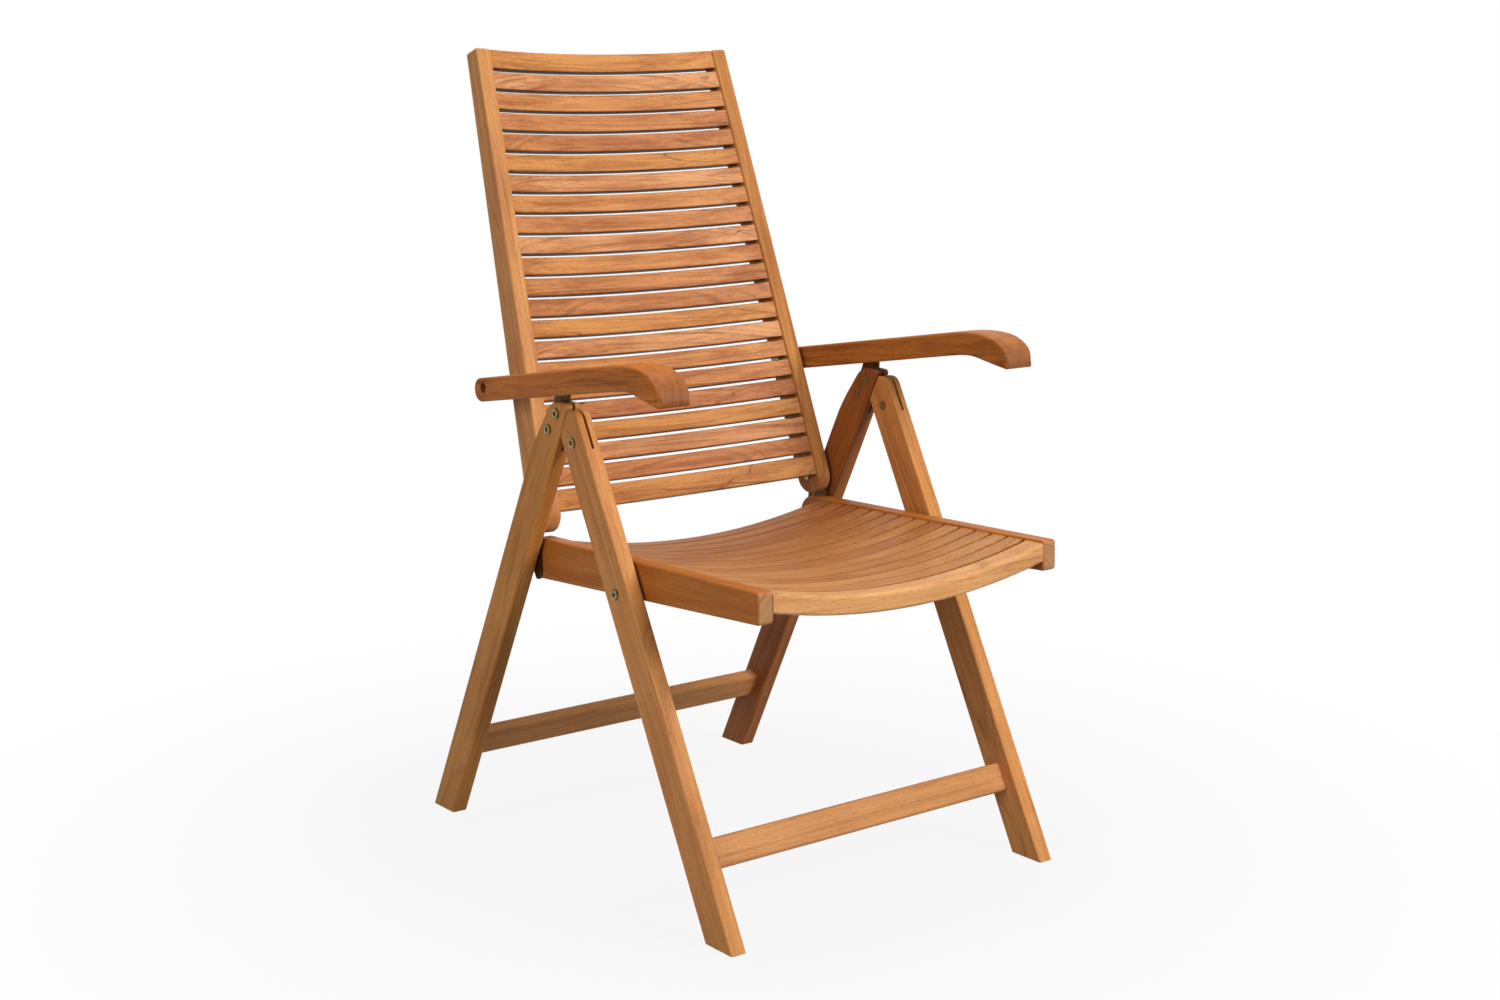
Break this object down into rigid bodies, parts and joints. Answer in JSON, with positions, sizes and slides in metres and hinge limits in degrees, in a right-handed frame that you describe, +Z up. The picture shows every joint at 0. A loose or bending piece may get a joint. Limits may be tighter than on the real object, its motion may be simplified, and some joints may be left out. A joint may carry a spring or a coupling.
{
  "type": "folding reclining armchair",
  "caption": "Folding wooden garden armchair with a dished slatted seat, a tall slatted back that reclines in steps, and arms with racks that drop on catch pins.",
  "frame": {"origin": "middle of the chair's box, on the floor", "axes": "+Z up; the sitter looks along -Y, the back leans to +Y; X runs from arm to arm, the sitter's left arm is at +X"},
  "size_m": [0.6002, 0.707, 1.0463],
  "materials": {
    "teak_legs": "oiled teak, planed and sanded",
    "teak_frames": "oiled teak, planed and sanded",
    "teak_seat_slats": "oiled teak, planed and sanded",
    "teak_back_slats": "oiled teak, planed and sanded",
    "teak_arms": "oiled teak, darker, planed and sanded",
    "teak_plugs": "end grain",
    "brass_plate": "satin",
    "brass_bolts": "satin"
  },
  "bodies": {
    "front_frame": {"front_leg_left": "teak_legs", "front_leg_right": "teak_legs", "front_stretcher": "teak_legs", "leg_pivot_bolts": "brass_bolts"},
    "rear_frame": {"rear_leg_left": "teak_legs", "rear_leg_right": "teak_legs", "rear_stretcher": "teak_legs", "leg_hinge_plates": "brass_plate", "leg_hinge_bolts": "brass_bolts", "catch_and_rest_pins": "brass_bolts", "dowel_plugs": "teak_plugs"},
    "seat": {"seat_rail_left": "teak_frames", "seat_rail_right": "teak_frames", "seat_slat_01": "teak_seat_slats", "seat_slat_02": "teak_seat_slats", "seat_slat_03": "teak_seat_slats", "seat_slat_04": "teak_seat_slats", "seat_slat_05": "teak_seat_slats", "seat_slat_06": "teak_seat_slats", "seat_slat_07": "teak_seat_slats", "seat_slat_08": "teak_seat_slats", "seat_slat_09": "teak_seat_slats", "seat_slat_10": "teak_seat_slats", "seat_slat_11": "teak_seat_slats", "seat_slat_12": "teak_seat_slats", "seat_slat_13": "teak_seat_slats", "seat_slat_14": "teak_seat_slats", "seat_slat_15": "teak_seat_slats", "back_hinge_straps": "brass_plate"},
    "hinge_bolts": {"back_hinge_bolts": "brass_bolts"},
    "back": {"back_stile_left": "teak_frames", "back_stile_right": "teak_frames", "back_slat_01": "teak_back_slats", "back_slat_02": "teak_back_slats", "back_slat_03": "teak_back_slats", "back_slat_04": "teak_back_slats", "back_slat_05": "teak_back_slats", "back_slat_06": "teak_back_slats", "back_slat_07": "teak_back_slats", "back_slat_08": "teak_back_slats", "back_slat_09": "teak_back_slats", "back_slat_10": "teak_back_slats", "back_slat_11": "teak_back_slats", "back_slat_12": "teak_back_slats", "back_slat_13": "teak_back_slats", "back_slat_14": "teak_back_slats", "back_slat_15": "teak_back_slats", "back_slat_16": "teak_back_slats", "back_slat_17": "teak_back_slats", "back_slat_18": "teak_back_slats", "back_slat_19": "teak_back_slats", "back_slat_20": "teak_back_slats", "back_slat_21": "teak_back_slats", "back_slat_22": "teak_back_slats"},
    "left_arm": {"arm_left": "teak_arms", "rack_left": "brass_plate", "arm_pivot_left": "brass_bolts"},
    "right_arm": {"arm_right": "teak_arms", "rack_right": "brass_plate", "arm_pivot_right": "brass_bolts"}
  },
  "joints": [
    {"name": "seat_fold", "type": "hinge", "parent": "front_frame", "child": "seat", "pos_m": [0, -0.1038, 0.392], "axis": [1, 0, 0], "range_deg": [0, 63.5]},
    {"name": "rear_leg_fold", "type": "hinge", "parent": "front_frame", "child": "rear_frame", "pos_m": [0, -0.0128, 0.567], "axis": [1, 0, 0], "range_deg": [-53.7, 0]},
    {"name": "back_fold", "type": "hinge", "parent": "seat", "child": "hinge_bolts", "pos_m": [0, 0.1138, 0.452], "axis": [1, 0, 0], "range_deg": [-71.9, 0]},
    {"name": "back_recline", "type": "hinge", "parent": "hinge_bolts", "child": "back", "pos_m": [0, 0.1138, 0.452], "axis": [-1, 0, 0], "range_deg": [0, 32]},
    {"name": "arm_swing_left", "type": "hinge", "parent": "back", "child": "left_arm", "pos_m": [0, 0.1732, 0.615], "axis": [1, 0, 0], "range_deg": [0, 21.5]},
    {"name": "arm_swing_right", "type": "hinge", "parent": "back", "child": "right_arm", "pos_m": [0, 0.1732, 0.615], "axis": [1, 0, 0], "range_deg": [0, 21.5]}
  ],
  "couplings": [
    {"joint": "rear_leg_fold", "follows": "seat_fold", "ratio": -0.845},
    {"joint": "back_fold", "follows": "seat_fold", "ratio": -1.131},
    {"joint": "arm_swing_left", "follows": "back_recline", "ratio": 0.669},
    {"joint": "arm_swing_right", "follows": "back_recline", "ratio": 0.669}
  ]
}
